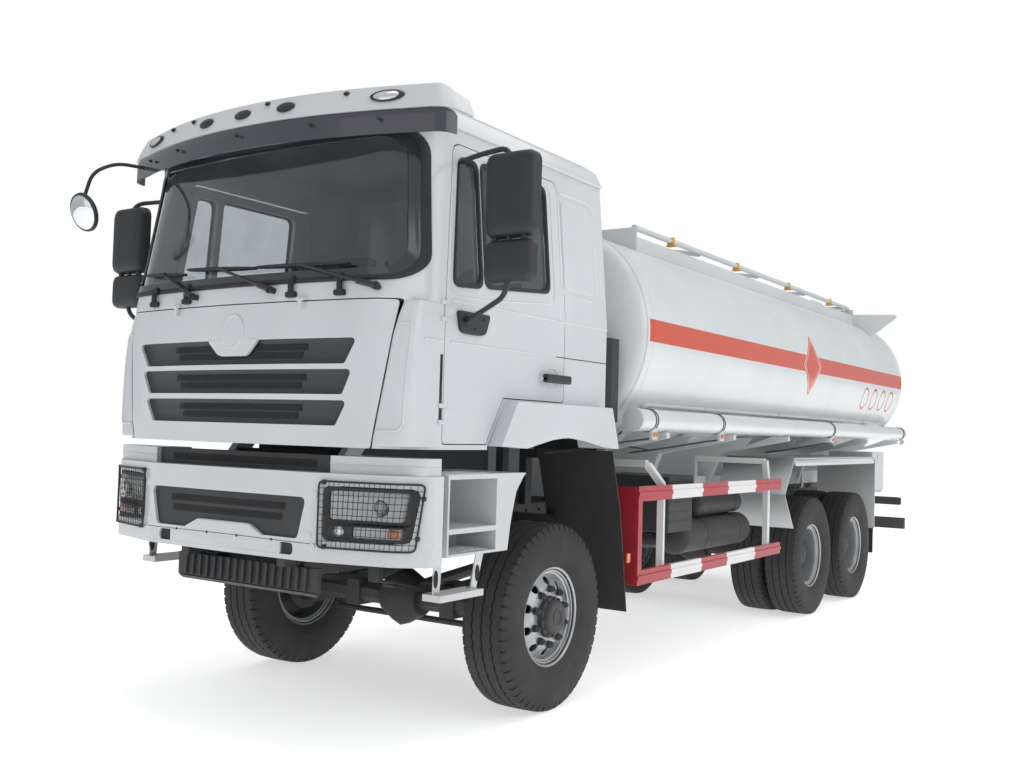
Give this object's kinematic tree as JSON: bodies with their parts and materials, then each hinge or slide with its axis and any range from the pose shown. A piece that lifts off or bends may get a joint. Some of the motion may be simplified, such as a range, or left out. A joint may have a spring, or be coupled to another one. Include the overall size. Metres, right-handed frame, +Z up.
{
  "type": "tanker truck",
  "caption": "Three-axle tanker truck with a tilting cab over the engine, an oval tank with a folding handrail, steered front wheels and twin rear wheels.",
  "frame": {"origin": "centre of the truck's bounding box, on the ground", "axes": "+X forward, +Y to the truck's left, +Z up"},
  "size_m": [10.1274, 3.38, 3.4753],
  "materials": {
    "tyre": "matt",
    "rim": "satin",
    "chassis": "satin",
    "cast": "matt",
    "cab_white": "gloss",
    "tank_white": "gloss",
    "glass": "gloss",
    "black_plastic": "matt",
    "grey_plastic": "matt",
    "rubber": "matt",
    "lamp": "gloss",
    "aluminium": "brushed",
    "guard": "satin",
    "trim": "matt"
  },
  "bodies": {
    "chassis": {"chassis_frame": "chassis", "front_axle": "cast", "rear_axles": "cast", "leaf_springs": "chassis", "engine": "cast", "subframe": "tank_white", "tank": "tank_white", "walkway": "aluminium", "hose_tubes": "tank_white", "side_guards": "guard", "rear_fenders": "grey_plastic", "mudflaps": "rubber", "air_tanks": "chassis", "fuel_tank": "aluminium", "underrun_bar": "chassis", "rear_ladder": "aluminium", "locker": "tank_white", "bumper": "cab_white", "bumper_grille": "black_plastic", "headlights": "lamp", "cab_steps": "cab_white", "air_intake": "black_plastic"},
    "cab": {"cab_shell": "cab_white", "cab_roof": "cab_white", "windscreen": "glass", "cab_fenders": "cab_white", "visor": "cab_white", "wipers": "black_plastic", "seats": "trim", "dashboard": "black_plastic"},
    "door_left": {"door_left": "cab_white", "glass_door_left": "glass", "mirrors_left": "black_plastic"},
    "door_right": {"door_right": "cab_white", "glass_door_right": "glass", "mirrors_right": "black_plastic"},
    "front_lid": {"front_lid": "cab_white", "grille_inserts": "black_plastic"},
    "knuckle_left": {"knuckle_left": "cast"},
    "knuckle_right": {"knuckle_right": "cast"},
    "tie_rod": {"tie_rod": "chassis"},
    "manhole_lid": {"manhole_lid": "aluminium"},
    "locker_door": {"locker_door": "tank_white"},
    "handrail": {"handrail": "aluminium"},
    "rail_post_1": {"rail_post_1": "aluminium"},
    "rail_post_2": {"rail_post_2": "aluminium"},
    "rail_post_3": {"rail_post_3": "aluminium"},
    "rail_post_4": {"rail_post_4": "aluminium"},
    "wheel_front_left": {"tyre_front_left": "tyre", "rim_front_left": "rim"},
    "wheel_front_right": {"tyre_front_right": "tyre", "rim_front_right": "rim"},
    "wheel_mid_left": {"tyre_mid_left": "tyre", "rim_mid_left": "rim"},
    "wheel_mid_right": {"tyre_mid_right": "tyre", "rim_mid_right": "rim"},
    "wheel_rear_left": {"tyre_rear_left": "tyre", "rim_rear_left": "rim"},
    "wheel_rear_right": {"tyre_rear_right": "tyre", "rim_rear_right": "rim"}
  },
  "joints": [
    {"name": "steer_left", "type": "hinge", "parent": "chassis", "child": "knuckle_left", "pos_m": [3.225, 0.83, 0.5625], "axis": [0, 0, 1], "range_deg": [-35, 35]},
    {"name": "steer_right", "type": "hinge", "parent": "chassis", "child": "knuckle_right", "pos_m": [3.225, -0.83, 0.5625], "axis": [0, 0, 1], "range_deg": [-35, 35]},
    {"name": "tie_rod_swing", "type": "hinge", "parent": "knuckle_left", "child": "tie_rod", "pos_m": [2.995, 0.83, 0.385], "axis": [0, 0, 1], "range_deg": [-35, 35]},
    {"name": "spin_front_left", "type": "hinge", "parent": "knuckle_left", "child": "wheel_front_left", "pos_m": [3.225, 1.015, 0.5625], "axis": [0, 1, 0], "continuous": true},
    {"name": "spin_front_right", "type": "hinge", "parent": "knuckle_right", "child": "wheel_front_right", "pos_m": [3.225, -1.015, 0.5625], "axis": [0, 1, 0], "continuous": true},
    {"name": "spin_mid_left", "type": "hinge", "parent": "chassis", "child": "wheel_mid_left", "pos_m": [-1.435, 0.92, 0.5625], "axis": [0, 1, 0], "continuous": true},
    {"name": "spin_mid_right", "type": "hinge", "parent": "chassis", "child": "wheel_mid_right", "pos_m": [-1.435, -0.92, 0.5625], "axis": [0, 1, 0], "continuous": true},
    {"name": "spin_rear_left", "type": "hinge", "parent": "chassis", "child": "wheel_rear_left", "pos_m": [-2.835, 0.92, 0.5625], "axis": [0, 1, 0], "continuous": true},
    {"name": "spin_rear_right", "type": "hinge", "parent": "chassis", "child": "wheel_rear_right", "pos_m": [-2.835, -0.92, 0.5625], "axis": [0, 1, 0], "continuous": true},
    {"name": "cab_tilt", "type": "hinge", "parent": "chassis", "child": "cab", "pos_m": [4.585, 0, 1.25], "axis": [0, 1, 0], "range_deg": [0, 50]},
    {"name": "door_left_swing", "type": "hinge", "parent": "cab", "child": "door_left", "pos_m": [4.382, 1.152, 2.03], "axis": [0, 0, -1], "range_deg": [0, 68]},
    {"name": "door_right_swing", "type": "hinge", "parent": "cab", "child": "door_right", "pos_m": [4.382, -1.152, 2.03], "axis": [0, 0, 1], "range_deg": [0, 68]},
    {"name": "front_lid_lift", "type": "hinge", "parent": "cab", "child": "front_lid", "pos_m": [4.792, 0, 2.343], "axis": [0, -1, 0], "range_deg": [0, 75]},
    {"name": "manhole_lid_lift", "type": "hinge", "parent": "chassis", "child": "manhole_lid", "pos_m": [-1.607, 0, 3.35], "axis": [0, -1, 0], "range_deg": [0, 100]},
    {"name": "locker_door_drop", "type": "hinge", "parent": "chassis", "child": "locker_door", "pos_m": [-3.82, 1.204, 1.102], "axis": [-1, 0, 0], "range_deg": [0, 95]},
    {"name": "rail_post_1_lift", "type": "hinge", "parent": "chassis", "child": "rail_post_1", "pos_m": [0.875, 0.685, 3.205], "axis": [0, 1, 0], "range_deg": [0, 83]},
    {"name": "rail_post_2_lift", "type": "hinge", "parent": "chassis", "child": "rail_post_2", "pos_m": [-0.535, 0.685, 3.205], "axis": [0, 1, 0], "range_deg": [0, 83]},
    {"name": "rail_post_3_lift", "type": "hinge", "parent": "chassis", "child": "rail_post_3", "pos_m": [-1.945, 0.685, 3.205], "axis": [0, 1, 0], "range_deg": [0, 83]},
    {"name": "rail_post_4_lift", "type": "hinge", "parent": "chassis", "child": "rail_post_4", "pos_m": [-3.355, 0.685, 3.205], "axis": [0, 1, 0], "range_deg": [0, 83]},
    {"name": "handrail_level", "type": "hinge", "parent": "rail_post_1", "child": "handrail", "pos_m": [0.17959, 0.685, 3.285], "axis": [0, 1, 0], "range_deg": [-83, 0]}
  ],
  "couplings": [
    {"joint": "steer_right", "follows": "steer_left", "ratio": 1},
    {"joint": "tie_rod_swing", "follows": "steer_left", "ratio": -1},
    {"joint": "rail_post_2_lift", "follows": "rail_post_1_lift", "ratio": 1},
    {"joint": "rail_post_3_lift", "follows": "rail_post_1_lift", "ratio": 1},
    {"joint": "rail_post_4_lift", "follows": "rail_post_1_lift", "ratio": 1},
    {"joint": "handrail_level", "follows": "rail_post_1_lift", "ratio": -1}
  ]
}
